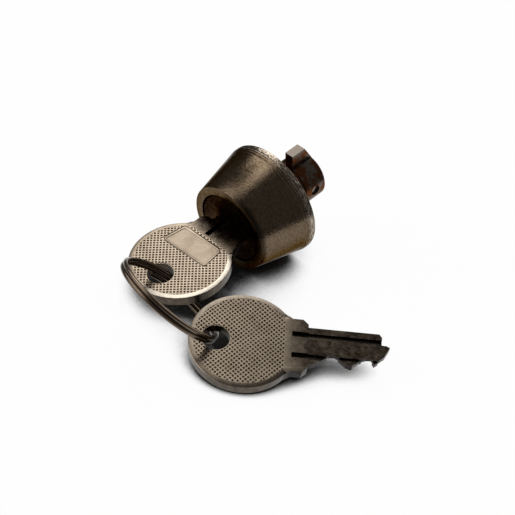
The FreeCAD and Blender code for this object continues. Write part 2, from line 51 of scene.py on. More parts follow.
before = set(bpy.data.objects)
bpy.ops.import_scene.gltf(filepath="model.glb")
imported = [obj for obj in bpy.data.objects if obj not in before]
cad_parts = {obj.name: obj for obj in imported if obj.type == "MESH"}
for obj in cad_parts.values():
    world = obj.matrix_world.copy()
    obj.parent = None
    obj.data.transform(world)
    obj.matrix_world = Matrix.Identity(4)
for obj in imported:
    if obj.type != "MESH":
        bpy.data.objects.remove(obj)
CAD_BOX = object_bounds()

MM = 0.001
WAFERS = range(1, 6)

# The turned collar in millimetres, its places along the axis measured from the shoulder
COLLAR_LENGTH = 14.5
COLLAR_FRONT = 11.25
COLLAR_REAR = 14.5
COLLAR_STRIP = 0.9
COLLAR_BORE = 9.15
LIP_RADIUS = 8.15
LIP_LENGTH = 1.4
FINE_GROOVES = (-2.75, -2.05, -1.5)
STRIP_GROOVE = 0.05
TURNED_EDGE = 0.05
PIN_HOLE = 1.12
PIN_PLACE = -6

# The lug's plate is rubbed clean from this height above the axis up, in millimetres
LUG_CLEAN = 9.4

# Both keys in millimetres, from the centre of the bow: its face's height above the middle of
# the sheet, its hole, the pitted plate with its thickness, how far it lies under the border,
# its straight end at the blade, and the slope of the rim
BOW_RADIUS = 12
BOW_FACE = 1.3
BOW_HOLE = (0, -6)
FIELD_RADIUS = 10.93
FIELD_HOLE = 3.3
FIELD_END = 9.27
FIELD_THICK = 0.2
FIELD_SINK = 0.02
RIM_START = 10.97
RIM_END = 12.4

# The bare panel's corners as the photograph shows them, across and along the key, and how much
# dirt and painted shade its parts carry
PANEL = ((-8.1, 1.7), (-7.2, 8.3), (5.0, 8.75), (5.9, 2.2))
CLEAN, DUSTY, DIRTY_AND_SHADED = 0.05, 0.3, 0.6

# From the shoulder forwards to the centre of the bow of the key in the lock
KEY_PLACE = 30.06

# The window overhead: on each axis of the direction looked in, where it is dark and where bright
WINDOW_BRIGHT = 1.3
WINDOW_SIDES = (("X", -0.62, -0.23), ("X", -0.03, -0.15), ("Y", 0.3, 0.1), ("Y", -0.44, -0.30))

# Round soft lights, behind on the left, overhead, in front on the left and far behind: the
# direction of each, the angles where it starts to fade and ends, and its strength
SOFT_LIGHTS = (((-0.55, 0.42, 0.72), 12, 22, 3.0), ((-0.33, 0.06, 0.94), 4, 11, 1.8),
               ((-0.55, -0.70, 0.45), 16, 36, 2.2), ((0.10, 0.93, 0.35), 14, 34, 1.6))
DIM_ROOM = 0.14

# The lock's own frame: its Y runs along the axis towards the lug, and the cone lies on the floor
LEAN = math.atan2(COLLAR_REAR - COLLAR_FRONT, COLLAR_LENGTH - COLLAR_STRIP)
LOCK = Matrix.Rotation(LEAN, 4, "X")
KEY_IN_LOCK = LOCK @ Matrix.Translation((0, -KEY_PLACE * MM, 0))


def frame_from(centre, across, along):
    """A key's place from its bow's centre in millimetres and two of its directions."""
    along = Vector(along).normalized()
    across = (Vector(across) - along * along.dot(Vector(across))).normalized()
    turn = Matrix((across, along, across.cross(along))).transposed().to_4x4()
    return Matrix.Translation(Vector(centre) * MM) @ turn


# How the spare key and the ring lie: places in millimetres, and directions
SPARE_KEY = frame_from((26.8304, -34.8661, -9.5269), (-0.663818, 0.695974, 0.273801),
                       (0.729859, 0.682751, 0.034027))
RING_CENTRE = Vector((10.5902, -42.1858, -4.7305)) * MM
RING_LINE = Vector((0.983595, -0.170427, -0.059132))
RING_ACROSS = Vector((-0.093870, -0.763466, 0.638990))
RING_NORMAL = Vector((-0.154046, -0.622956, -0.766939))


def linear(code):
    """A colour written as sRGB hex, as the linear numbers that shaders take."""
    parts = [int(code[i:i + 2], 16) / 255 for i in (1, 3, 5)]
    return tuple(c / 12.92 if c <= 0.04045 else ((c + 0.055) / 1.055) ** 2.4 for c in parts)


def length(name, text, millimetres):
    return FloatProperty(name=name, description=text, default=millimetres * MM, precision=5,
                         unit="LENGTH")


def colour(name, text, code):
    return FloatVectorProperty(name=name, description=text, default=linear(code), subtype="COLOR",
                               min=0, max=1)


class HitchLockSizes(bpy.types.PropertyGroup):
    collar_segments: IntProperty(name="Turned segments", description="Sides of a turned piece",
                                 default=192)
    edge_break: length("Edge break", "Small bevel on machined edges", 0.12)
    key_edge: length("Key edge", "Rounding on a key's stamped edges", 0.16)
    pit_pitch: length("Pit pitch", "Distance between the pits on a bow", 0.78)
    pit_border: length("Pit border", "Flat metal on each side of a pit", 0.13)
    pit_slope: length("Pit slope", "Width of a pit's sloping side", 0.08)
    pit_depth: length("Pit depth", "Depth of the pits", 0.12)
    panel_border: length("Panel border", "Raised edge of the bare panel", 0.6)
    panel_sink: length("Panel sink", "How far the panel lies under its edge", 0.11)
    rim_fall: length("Rim fall", "How far a bow's worn rim slopes down outwards", 0.13)
    ring_radius: length("Ring radius", "To the middle of the wire", 12.95)
    wire_width: length("Wire width", "Of the ring's wire, towards its centre", 0.95)
    wire_height: length("Wire height", "Of the ring's wire, along its axis", 0.98)
    turn_pitch: length("Turn pitch", "Between the ring's turns", 1.0)


class HitchLockColours(bpy.types.PropertyGroup):
    collar: colour("Collar", "Black nickel plate on the turned collar", "#685A4A")
    barrel: colour("Barrel", "Dark nickel plate on the spigot", "#403626")
    plug: colour("Plug", "Turned face of the plug", "#2F2823")
    cam: colour("Cam", "Cast and plated lug", "#655E57")
    keys: colour("Keys", "Nickel-plated brass", "#988B7B")
    ring: colour("Ring", "Dark spring-steel wire", "#6A5D51")
    # Dirt in the low places, and also painted shade on the keys' cut sides, pits and panel feet
    # and on the collar's front band
    grime_and_shade: colour("Grime", "What settles in the low places", "#1E1712")
    tarnish: colour("Tarnish", "Warm brown film on old nickel", "#5E4F3F")
    rust: colour("Rust", "Red-brown film on the spigot and lug", "#5E3822")
    # Rubbed nickel on the collar's rear land, and also the painted highlight on the rim of the key
    # in the lock
    worn_and_highlight: colour("Worn edge", "Nickel rubbed bright on the collar's rear land", "#C9C1B4")
    brass: colour("Brass", "Wafers", "#C9A254")
    steel: colour("Steel", "Pins and springs", "#8C8883")
    floor: colour("Floor", "Paper under the lock", "#FDFDFD")


def sizes():
    return bpy.context.scene.hitch_lock_sizes


def colours():
    return bpy.context.scene.hitch_lock_colours


# ---------------------------------------------------------------- materials

def node(tree, kind, settings=None, links=None, values=None):
    """Adds a node, sets its properties and socket values, and links its inputs."""
    made = tree.nodes.new(kind)
    for name, value in (settings or {}).items():
        setattr(made, name, value)
    for name, value in (values or {}).items():
        made.inputs[name].default_value = value
    for name, source in (links or {}).items():
        tree.links.new(source, made.inputs[name])
    return made


def new_material(name):
    material = bpy.data.materials.new(name)
    material.use_nodes = True
    material.node_tree.nodes.clear()
    return material, material.node_tree


def rgba(three):
    """A colour with full alpha."""
    return (three[0], three[1], three[2], 1.0)


def ramp(tree, value, start, end, low=0.0, high=1.0, kind="LINEAR"):
    """Maps a value from one range to another and stops at the ends."""
    return node(tree, "ShaderNodeMapRange", {"interpolation_type": kind}, links={"Value": value},
                values={"From Min": start, "From Max": end, "To Min": low, "To Max": high}
                ).outputs["Result"]


def maths(tree, operation, first, second):
    """Two linked values put together."""
    return node(tree, "ShaderNodeMath", {"operation": operation},
                links={0: first, 1: second}).outputs["Value"]


def noise(tree, place, size_mm, detail, roughness=0.5):
    """Soft spots of about this size, from 0 to 1."""
    return node(tree, "ShaderNodeTexNoise", links={"Vector": place},
                values={"Scale": 1 / (size_mm * MM), "Detail": detail, "Roughness": roughness}
                ).outputs["Fac"]


def tinted(tree, share, base, tint):
    """The base colour with a plain colour mixed over it."""
    return node(tree, "ShaderNodeMix", {"data_type": "RGBA"}, links={0: share, 6: base},
                values={7: rgba(tint)}).outputs[2]


def in_lock(tree, place):
    """Object coordinates turned so that Y runs along the lock's axis."""
    return node(tree, "ShaderNodeMapping", {"vector_type": "POINT"}, links={"Vector": place},
                values={"Rotation": (-LEAN, 0, 0)}).outputs["Vector"]


def bumped(tree, height, strength, depth_mm):
    """The normal of a surface with this relief on it."""
    return node(tree, "ShaderNodeBump", links={"Height": height},
                values={"Strength": strength, "Distance": depth_mm * MM}).outputs["Normal"]


def attribute(tree, name):
    """A share that the mesh itself carries, such as its dirt."""
    return node(tree, "ShaderNodeAttribute", {"attribute_name": name}).outputs["Fac"]


def finish_metal(tree, base, roughness, bump, edge=1.0):
    """Closes a metal: base colour, roughness and bump come from the pattern nodes.

    A lower edge keeps a dark plate dark where it turns away from the eye."""
    shader = node(tree, "ShaderNodeBsdfPrincipled",
                  values={"Metallic": 1.0, "Specular Tint": (edge, edge ** 1.1, edge ** 1.2, 1)},
                  links={"Base Color": base, "Roughness": roughness, "Normal": bump})
    node(tree, "ShaderNodeOutputMaterial", links={"Surface": shader.outputs["BSDF"]})


def mottled(tree, place, colour_value, film, size_mm, amount):
    """The plate's own colour with a warm film over it in soft patches."""
    share = ramp(tree, noise(tree, place, size_mm, 4.0, 0.6), 0.42, 0.68, 0.0, amount)
    return node(tree, "ShaderNodeMix", {"data_type": "RGBA"}, links={0: share},
                values={6: rgba(colour_value), 7: rgba(film)}).outputs[2]


def turned_nickel(name, colour_value, film, film_amount, roughness, collar=False, faced=False):
    # Dark nickel plate over turned steel: mirror-like but finely pitted, so a highlight draws out
    # into a speckled band along the cone. The real tool marks, 0.05 mm, are drawn at 0.2 mm
    material, tree = new_material(name)
    place = node(tree, "ShaderNodeTexCoord").outputs["Object"]
    lock = in_lock(tree, place)
    parts = node(tree, "ShaderNodeSeparateXYZ", links={"Vector": lock}).outputs
    along = parts["Y"]
    if faced:
        flat = node(tree, "ShaderNodeCombineXYZ", links={"X": parts["X"], "Y": parts["Z"]})
        along = node(tree, "ShaderNodeVectorMath", {"operation": "LENGTH"},
                     links={0: flat.outputs["Vector"]}).outputs["Value"]
    rings = node(tree, "ShaderNodeTexNoise", {"noise_dimensions": "1D"}, links={"W": along},
                 values={"Scale": 1 / (0.2 * MM), "Detail": 2.0}).outputs["Fac"]
    # Shallow pits, drawn out round the axis by the tool, carry the highlight's speckle
    stretched = node(tree, "ShaderNodeMapping", links={"Vector": lock},
                     values={"Scale": (1.0, 1.9, 1.0)}).outputs["Vector"]
    speckle = noise(tree, stretched, 0.8, 3.0, 0.6)
    relief = node(tree, "ShaderNodeMath", {"operation": "MULTIPLY_ADD"},
                  links={0: rings, 2: speckle}, values={1: 0.06}).outputs["Value"]
    bump = bumped(tree, relief, 1.0, 0.055)
    gloss = ramp(tree, speckle, 0.0, 1.0, roughness * 0.6, roughness * 1.5)
    base = mottled(tree, place, colour_value, film, 4.0, film_amount)
    fleck = ramp(tree, speckle, 0.34, 0.66, 0.74, 1.28)
    base = node(tree, "ShaderNodeVectorMath", {"operation": "SCALE"},
                links={0: base, "Scale": fleck}).outputs["Vector"]
    if collar:
        base = collar_wear_and_shade(tree, base, parts, speckle)
    finish_metal(tree, base, gloss, bump, 0.36)
    return material


def collar_wear_and_shade(tree, base, parts, speckle):
    # Painted shade darkens the far side of the collar's front edge to a band, for the dark floor
    # it mirrors there, and the land at its rear is rubbed bright in flecks, up to the shoulder's
    # own face
    front = ramp(tree, parts["Y"], -13.9 * MM, -12.9 * MM, 0.8, 0.0)
    side = ramp(tree, parts["X"], 1.0 * MM, 6.0 * MM)
    base = tinted(tree, maths(tree, "MULTIPLY", front, side), base, colours().grime_and_shade)
    land = ramp(tree, parts["Y"], -2.1 * MM, -0.7 * MM, kind="SMOOTHSTEP")
    flecks = ramp(tree, speckle, 0.44, 0.62, 0.1, 0.85)
    before = ramp(tree, parts["Y"], -0.16 * MM, -0.04 * MM, 1.0, 0.0)
    share = maths(tree, "MULTIPLY", maths(tree, "MULTIPLY", land, flecks), before)
    return tinted(tree, share, base, colours().worn_and_highlight)


def stamped_nickel(name, colour_value):
    # Nickel-plated brass blank, stamped: a soft satin grey. Brown dirt and painted shade lie in
    # the low places and painted shade on the cut sides, so that the pits and the cut sides read as
    # dark, and a painted highlight lies on one side of a rim. The plate's grain, which is finer
    # than a pixel, is drawn at 0.25 mm
    material, tree = new_material(name)
    place = node(tree, "ShaderNodeTexCoord").outputs["Object"]
    uneven = ramp(tree, noise(tree, place, 1.2, 5.0, 0.65), 0.3, 0.7, 0.75, 1.1)
    # Painted shade on the cut sides, and dirt with painted shade in the low places
    both = node(tree, "ShaderNodeMath", {"operation": "MULTIPLY_ADD"}, values={1: 0.8},
                links={0: attribute(tree, "painted_shade"), 2: attribute(tree, "dirt_and_shade")})
    share = node(tree, "ShaderNodeMath", {"operation": "MULTIPLY", "use_clamp": True},
                 links={0: both.outputs["Value"], 1: uneven}).outputs["Value"]
    plate = mottled(tree, place, colour_value, colours().tarnish, 3.5, 0.3)
    base = tinted(tree, share, plate, colours().grime_and_shade)
    # Painted highlight on one side of the rim
    base = tinted(tree, attribute(tree, "rubbed_and_highlight"), base, colours().worn_and_highlight)
    grain = noise(tree, place, 0.25, 4.0)
    finish_metal(tree, base, ramp(tree, grain, 0.0, 1.0, 0.2, 0.36),
                 bumped(tree, grain, 0.4, 0.02))
    return material


def plain_metal(name, colour_value, roughness, grain_mm, film, film_amount, clean_above=None,
                edge=1.0):
    # Drawn wire, ground pins, cast cam and punched brass: even metal with a fine grain that
    # softens its highlights, and the bare colour back where the cam is rubbed
    material, tree = new_material(name)
    place = node(tree, "ShaderNodeTexCoord").outputs["Object"]
    base = mottled(tree, place, colour_value, film, 2.5, film_amount)
    if clean_above:
        height = node(tree, "ShaderNodeSeparateXYZ",
                      links={"Vector": in_lock(tree, place)}).outputs["Z"]
        rubbed_and_highlight = ramp(tree, height, (clean_above - 0.4) * MM, clean_above * MM)
        base = tinted(tree, rubbed_and_highlight, base, colour_value)
    grain = noise(tree, place, grain_mm, 3.0)
    finish_metal(tree, base, ramp(tree, grain, 0.0, 1.0, roughness * 0.8, roughness * 1.3),
                 bumped(tree, grain, 0.35, 0.015), edge)
    return material


def finishes():
    """The materials by name, made once."""
    tints = colours()
    brown, red = tints.tarnish, tints.rust
    makers = {
        "turned_nickel_collar": lambda n: turned_nickel(n, tints.collar, brown, 0.6, 0.17, True),
        "turned_nickel_barrel": lambda n: turned_nickel(n, tints.barrel, red, 1.0, 0.22),
        "faced_nickel_plug": lambda n: turned_nickel(n, tints.plug, brown, 0.3, 0.28, faced=True),
        "stamped_nickel_key": lambda n: stamped_nickel(n, tints.keys),
        "cast_nickel_cam": lambda n: plain_metal(n, tints.cam, 0.26, 0.5, red, 2.6, LUG_CLEAN,
                                                 0.6),
        "drawn_steel_ring": lambda n: plain_metal(n, tints.ring, 0.2, 0.3, brown, 0.4),
        "ground_steel_pin": lambda n: plain_metal(n, tints.steel, 0.3, 0.3, brown, 0.3),
        "spring_steel_wire": lambda n: plain_metal(n, tints.steel, 0.25, 0.2, brown, 0.1),
        "punched_brass_wafer": lambda n: plain_metal(n, tints.brass, 0.3, 0.3, brown, 0.2),
    }
    return {name: bpy.data.materials.get(name) or make(name) for name, make in makers.items()}


# ---------------------------------------------------------------- meshes

def finished(name, shape, material, body, stands_for=(), smooth_angle=30):
    """Makes an object of a bmesh, shades it, gives it its finish and lets it ride."""
    mesh = bpy.data.meshes.new(name)
    shape.to_mesh(mesh)
    shape.free()
    mesh.materials.append(material)
    mesh.shade_smooth()
    mesh.set_sharp_from_angle(angle=math.radians(smooth_angle))
    made = bpy.data.objects.new(name, mesh)
    bpy.context.scene.collection.objects.link(made)
    if stands_for:
        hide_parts(*stands_for)
    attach(made, body)
    return made


def bevelled(piece, width, segments=3):
    """Rounds a piece's edges, so that each catches a line of light."""
    edge = piece.modifiers.new("Edge break", "BEVEL")
    edge.width = width
    edge.segments = segments
    edge.limit_method = "ANGLE"
    edge.angle_limit = math.radians(35)
    edge.harden_normals = True
    edge.use_clamp_overlap = True


def cad_shape(name):
    """A copy of a CAD node's mesh with its loose triangles merged into whole faces."""
    shape = bmesh.new()
    shape.from_mesh(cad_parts[name].data)
    bmesh.ops.remove_doubles(shape, verts=shape.verts, dist=1e-6)
    bmesh.ops.dissolve_limit(shape, angle_limit=math.radians(0.4), verts=shape.verts,
                             edges=shape.edges)
    return shape


def spun(profile, segments):
    """Turns a closed profile of (radius, place along the axis) in millimetres about the Y axis."""
    shape = bmesh.new()
    ends = [shape.verts.new((radius * MM, along * MM, 0)) for radius, along in profile]
    edges = [shape.edges.new((ends[i], ends[(i + 1) % len(ends)])) for i in range(len(ends))]
    bmesh.ops.spin(shape, geom=ends + edges, cent=(0, 0, 0), axis=(0, 1, 0), dvec=(0, 0, 0),
                   angle=2 * math.pi, steps=segments, use_merge=True)
    bmesh.ops.remove_doubles(shape, verts=shape.verts, dist=1e-7)
    bmesh.ops.recalc_face_normals(shape, faces=shape.faces)
    return shape


def break_edges(shape, width):
    """Bevels every edge sharper than 25 degrees."""
    sharp = [edge for edge in shape.edges
             if len(edge.link_faces) == 2 and edge.calc_face_angle() > math.radians(25)]
    bmesh.ops.bevel(shape, geom=sharp, offset=width, offset_type="OFFSET", segments=2,
                    profile=0.5, affect="EDGES", clamp_overlap=True, material=-1)


def loose_object(name, shape):
    """A bare object of a bmesh, which it uses up: for a boolean cut, or the floor."""
    mesh = bpy.data.meshes.new(name)
    shape.to_mesh(mesh)
    shape.free()
    made = bpy.data.objects.new(name, mesh)
    bpy.context.scene.collection.objects.link(made)
    return made


def removed(item):
    """Takes a helper object and its mesh out of the file."""
    mesh = item.data
    bpy.data.objects.remove(item)
    bpy.data.meshes.remove(mesh)


def evaluated_mesh(item):
    """A new mesh of an object with its modifiers or curve bevel worked out."""
    bpy.context.view_layer.update()
    return bpy.data.meshes.new_from_object(
        item.evaluated_get(bpy.context.evaluated_depsgraph_get()))


def carved(shape, tools):
    """The shape after boolean cuts by (tool, operation) pairs. Shape and tools are used up."""
    piece = loose_object("uncut", shape)
    for tool, operation in tools:
        cut = piece.modifiers.new(tool.name, "BOOLEAN")
        cut.operation = operation
        cut.object = tool
        cut.solver = "EXACT"
    mesh = evaluated_mesh(piece)
    made = bmesh.new()
    made.from_mesh(mesh)
    bpy.data.meshes.remove(mesh)
    for item in [piece] + [tool for tool, operation in tools]:
        removed(item)
    return made


def round_bar(radius, depth, matrix, segments):
    """A capped cylinder, its axis along the matrix's Z."""
    shape = bmesh.new()
    bmesh.ops.create_cone(shape, cap_ends=True, segments=segments, radius1=radius, radius2=radius,
                          depth=depth, matrix=matrix)
    return shape


# ---------------------------------------------------------------- pieces

def cone_radius(place):
    """The collar's radius on its cone, at a place along its axis."""
    slope = (COLLAR_REAR - COLLAR_FRONT) / (COLLAR_LENGTH - COLLAR_STRIP)
    return COLLAR_FRONT + slope * (place + COLLAR_LENGTH)


def make_collar():
    profile = [(COLLAR_BORE, -COLLAR_LENGTH), (COLLAR_FRONT, -COLLAR_LENGTH)]
    for place in FINE_GROOVES:
        # A scratch and the burr behind it
        profile += [(cone_radius(place) + rise, place + back)
                    for rise, back in ((0, 0), (-0.035, 0.04), (-0.02, 0.12), (0.038, 0.16))]
    profile += [(COLLAR_REAR - sunk, place)
                for sunk, place in ((0, -COLLAR_STRIP), (0, -0.72), (STRIP_GROOVE, -0.68),
                                    (STRIP_GROOVE, -0.6), (0, -0.56), (0, 0))]
    profile += [(LIP_RADIUS, 0), (LIP_RADIUS, -LIP_LENGTH), (COLLAR_BORE, -LIP_LENGTH)]
    shape = spun(profile, sizes().collar_segments)
    break_edges(shape, TURNED_EDGE * MM)
    bmesh.ops.remove_doubles(shape, verts=shape.verts, dist=1e-6)
    bmesh.ops.transform(shape, matrix=LOCK, verts=shape.verts)
    # The pin's hole goes through one wall only
    across = Matrix.Rotation(math.pi / 2, 4, "Y")
    drill = round_bar(PIN_HOLE * MM, 8 * MM, LOCK
                      @ Matrix.Translation(Vector((-12, PIN_PLACE, 0)) * MM) @ across, 64)
    shape = carved(shape, [(loose_object("drill", drill), "DIFFERENCE")])
    finished("collar_turned", shape, finishes()["turned_nickel_collar"], "housing",
             ["head_collar"])


def make_lock_pieces():
    metals = finishes()
    edge = sizes().edge_break
    barrel = finished("barrel_turned", cad_shape("barrel"), metals["turned_nickel_barrel"],
                      "housing", ["barrel"])
    bevelled(barrel, edge * 0.6, 2)
    plug = finished("plug_faced", cad_shape("plug"), metals["faced_nickel_plug"], "core",
                    ["plug"])
    bevelled(plug, 0.03 * MM, 2)
    cam = finished("lug_cam_cast", cad_shape("lug_cam"), metals["cast_nickel_cam"], "core",
                   ["lug_cam"])
    bevelled(cam, edge)
    for name, body in (("barrel_pin", "housing"), ("stop_pin", "housing"),
                       ("cam_cross_pin", "core")):
        pin = finished(name + "_ground", cad_shape(name), metals["ground_steel_pin"], body,
                       [name])
        bevelled(pin, edge * 0.7, 2)


def make_wafers():
    metals = finishes()
    for number in WAFERS:
        name = "wafer_%d" % number
        wafer = finished(name + "_punched", cad_shape(name), metals["punched_brass_wafer"], name,
                         [name])
        bevelled(wafer, 0.05 * MM, 2)
        spring = "wafer_spring_%d" % number
        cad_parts[spring].data.materials.clear()
        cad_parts[spring].data.materials.append(metals["spring_steel_wire"])


def block(corners, bottom, top, corner_radius=0):
    """A straight block on a polygon, its upright edges rounded, given in millimetres."""
    shape = bmesh.new()
    face = shape.faces.new([shape.verts.new((x * MM, y * MM, bottom * MM)) for x, y in corners])
    risen = bmesh.ops.extrude_face_region(shape, geom=[face])["geom"]
    bmesh.ops.translate(shape, vec=(0, 0, (top - bottom) * MM),
                        verts=[item for item in risen if isinstance(item, bmesh.types.BMVert)])
    bmesh.ops.recalc_face_normals(shape, faces=shape.faces)
    if corner_radius:
        upright = [edge for edge in shape.edges
                   if abs(edge.verts[0].co.z - edge.verts[1].co.z) > 0.01 * MM]
        bmesh.ops.bevel(shape, geom=upright, offset=corner_radius * MM, offset_type="OFFSET",
                        segments=5, profile=0.5, affect="EDGES", material=-1)
    return shape


def block_tool(name, corners):
    """A cutting block that reaches well past both faces of the pitted plate."""
    return loose_object(name, block(corners, 0.2, 2.2))


def bar_tool(name, radius, centre=(0, 0)):
    """A cutting bar through the pitted plate, given in millimetres."""
    middle = Matrix.Translation((centre[0] * MM, centre[1] * MM, 1.2 * MM))
    return loose_object(name, round_bar(radius * MM, 2 * MM, middle, 128))


def bordered_panel(place):
    """The bare name panel: a thin plate with a raised border, on a bow's upper side."""
    size = sizes()
    shape = block(PANEL, BOW_FACE - 0.3, BOW_FACE, 1.1)
    top = [face for face in shape.faces if face.normal.z > 0.99]
    dirt_and_shade = shape.verts.layers.float.new("dirt_and_shade")
    for vert in shape.verts:
        vert[dirt_and_shade] = DIRTY_AND_SHADED
    slope, rise = 0.12 * MM, 0.05 * MM
    # The border's outer slope, its flat, its inner slope with dirt and painted shade at the foot,
    # and the panel
    for width, climb, soil_and_shade in ((slope, rise, CLEAN),
                               (size.panel_border - 2 * slope, 0, CLEAN),
                               (slope, -size.panel_sink, DIRTY_AND_SHADED), (0.25 * MM, 0, DUSTY)):
        bmesh.ops.inset_region(shape, faces=top, thickness=width, depth=climb)
        for vert in top[0].verts:
            vert[dirt_and_shade] = soil_and_shade
    bmesh.ops.translate(shape, verts=shape.verts, vec=(0, 0, -rise))
    bmesh.ops.transform(shape, matrix=place, verts=shape.verts)
    return shape


def rim_wedge(under):
    """A wedge around the bow that cuts its rim to a slope, but not on the blade's side."""
    first, sweep = math.radians(127), math.radians(286)
    # It starts a hair above the face, so that no two faces fall together, and ends outside the
    # rim, where the slope has gone half as far again
    foot = BOW_FACE + 0.002
    outside = foot - sizes().rim_fall / MM * 1.5
    above = BOW_FACE + 0.5
    shape = bmesh.new()
    turned = Matrix.Rotation(first, 4, "Z")
    ends = [shape.verts.new(turned @ Vector((radius * MM, 0, height * MM)))
            for radius, height in ((RIM_START, foot), (RIM_END, outside), (RIM_END, above),
                                   (RIM_START, above))]
    face = shape.faces.new(ends)
    bmesh.ops.spin(shape, geom=ends + list(face.edges) + [face], cent=(0, 0, 0), axis=(0, 0, 1),
                   dvec=(0, 0, 0), angle=sweep, steps=144)
    if under:
        bmesh.ops.scale(shape, vec=(1, 1, -1), verts=shape.verts)
    bmesh.ops.recalc_face_normals(shape, faces=shape.faces)
    return loose_object("rim_wedge", shape)


def pitted_field(place, under):
    """A plate with rows of small pits that fills one side of a bow, turned by 45 degrees."""
    size = sizes()
    pitch = size.pit_pitch
    count = int((2 * BOW_RADIUS - 1) * MM / pitch)
    shape = bmesh.new()
    bmesh.ops.create_grid(shape, x_segments=count, y_segments=count, size=count * pitch / 2)
    bmesh.ops.rotate(shape, verts=shape.verts, cent=(0, 0, 0),
                     matrix=Matrix.Rotation(math.pi / 4, 3, "Z"))
    outside = [face for face in shape.faces
               if min(math.hypot(v.co.x, v.co.y) for v in face.verts) > (BOW_RADIUS - 1) * MM]
    bmesh.ops.delete(shape, geom=outside, context="FACES")
    risen = bmesh.ops.extrude_face_region(shape, geom=shape.faces[:], use_keep_orig=True)["geom"]
    top = [item for item in risen if isinstance(item, bmesh.types.BMFace)]
    bmesh.ops.translate(shape, vec=(0, 0, FIELD_THICK * MM),
                        verts=[item for item in risen if isinstance(item, bmesh.types.BMVert)])
    bmesh.ops.recalc_face_normals(shape, faces=shape.faces)
    bmesh.ops.inset_individual(shape, faces=top, thickness=size.pit_border, depth=0,
                               use_even_offset=True)
    bmesh.ops.inset_individual(shape, faces=top, thickness=size.pit_slope, depth=-size.pit_depth,
                               use_even_offset=True)
    bmesh.ops.translate(shape, verts=shape.verts,
                        vec=(0, 0, (BOW_FACE - FIELD_SINK - FIELD_THICK) * MM))
    past = BOW_RADIUS + 2
    blade_side = [(-BOW_RADIUS, FIELD_END), (BOW_RADIUS, FIELD_END), (BOW_RADIUS, past),
                  (-BOW_RADIUS, past)]
    tools = [(bar_tool("rim", FIELD_RADIUS), "INTERSECT"),
             (bar_tool("hole", FIELD_HOLE, BOW_HOLE), "DIFFERENCE"),
             (block_tool("blade_side", blade_side), "DIFFERENCE")]
    if not under:
        # A little larger than the panel, so that a dark line is left around it
        around_panel = [(x * 1.022 - 0.02, y * 1.03 - 0.15) for x, y in PANEL]
        tools.append((block_tool("panel", around_panel), "DIFFERENCE"))
    field = carved(shape, tools)
    dirt_and_shade = field.verts.layers.float.new("dirt_and_shade")
    # The pits' floors take dirt and painted shade, so that they read as dark
    for vert in field.verts:
        vert[dirt_and_shade] = 1.0 if vert.co.z < (BOW_FACE - 0.04) * MM else 0.0
    if under:
        bmesh.ops.scale(field, vec=(1, 1, -1), verts=field.verts)
        bmesh.ops.reverse_faces(field, faces=field.faces)
    bmesh.ops.transform(field, matrix=place, verts=field.verts)
    return field


def is_panel(face):
    """Whether a face of the CAD key is its panel, which lies in the middle of the upper side."""
    middle = face.calc_center_median() / MM
    return (face.normal.z > 0.99 and abs(middle.z - BOW_FACE) < 0.02 and 2 < middle.y < 8
            and abs(middle.x) < 4 and face.calc_area() < 90e-6)


def share_of(value, start, width):
    """0 up to the start, 1 past the width, and even between them."""
    return min(max((value - start) / width, 0), 1)


def blank_shape(node_name, place, soil_and_shade, rim_highlight):
    """The stamped blank: the CAD key with a sloped rim, darker at its blade with dirt and painted
    shade, and at its cut sides with painted shade.
    """
    shape = cad_shape(node_name)
    bmesh.ops.transform(shape, matrix=place.inverted(), verts=shape.verts)
    panel = [face for face in shape.faces if is_panel(face)]
    if len(panel) != 1:
        raise RuntimeError("the bow's panel is %d faces" % len(panel))
    # The bordered panel takes the place of the CAD's plain one, which sinks out of sight
    bmesh.ops.translate(shape, verts=panel[0].verts, vec=(0, 0, -0.22 * MM))
    bmesh.ops.remove_doubles(shape, verts=shape.verts, dist=5e-6)
    shape = carved(shape, [(rim_wedge(False), "DIFFERENCE"), (rim_wedge(True), "DIFFERENCE")])
    # Dirt and painted shade thicken from the bow towards the wings, and once more along the blade;
    # on the key in the lock the shade stands for the collar's shadow on its wings
    dirt_and_shade = shape.verts.layers.float.new("dirt_and_shade")
    for vert in shape.verts:
        along = vert.co.y / MM
        vert[dirt_and_shade] = share_of(along, 8.6, 1.2) * soil_and_shade + (0.25 if along > 13 else 0)
    painted_shade = shape.faces.layers.float.new("painted_shade")
    rubbed_and_highlight = shape.faces.layers.float.new("rubbed_and_highlight")
    # Cut sides and the hole's walls take painted shade, for the dark surroundings they mirror
    for face in shape.faces:
        face[painted_shade] = 1.0 if abs(face.normal.z) < 0.5 else 0.0
        if 0.95 < abs(face.normal.z) < 0.999:
            # The rim's slope takes a painted highlight on the side that faces the spare key, and
            # painted shade where that highlight is weak
            middle = face.calc_center_median() / MM
            side = (0.94 * middle.x - 0.34 * middle.y) / 11.4
            face[rubbed_and_highlight] = rim_highlight * share_of(side, -0.2, 0.6)
            face[painted_shade] = 0.85 * (1 - rim_highlight)
    bmesh.ops.transform(shape, matrix=place, verts=shape.verts)
    return shape


def make_key(node_name, body, place, soil_and_shade, rim_highlight):
    metal = finishes()["stamped_nickel_key"]
    key = finished(node_name + "_blank", blank_shape(node_name, place, soil_and_shade, rim_highlight), metal, body,
                   [node_name])
    bevelled(key, sizes().key_edge)
    finished(node_name + "_panel", bordered_panel(place), metal, body)
    for side, under in (("upper", False), ("lower", True)):
        finished("%s_pitted_%s" % (node_name, side), pitted_field(place, under), metal, body,
                 smooth_angle=10)


def squared(value):
    """Pushes a circle's coordinate outwards, for wire rolled slightly flat."""
    return math.copysign(abs(value) ** 0.7, value)


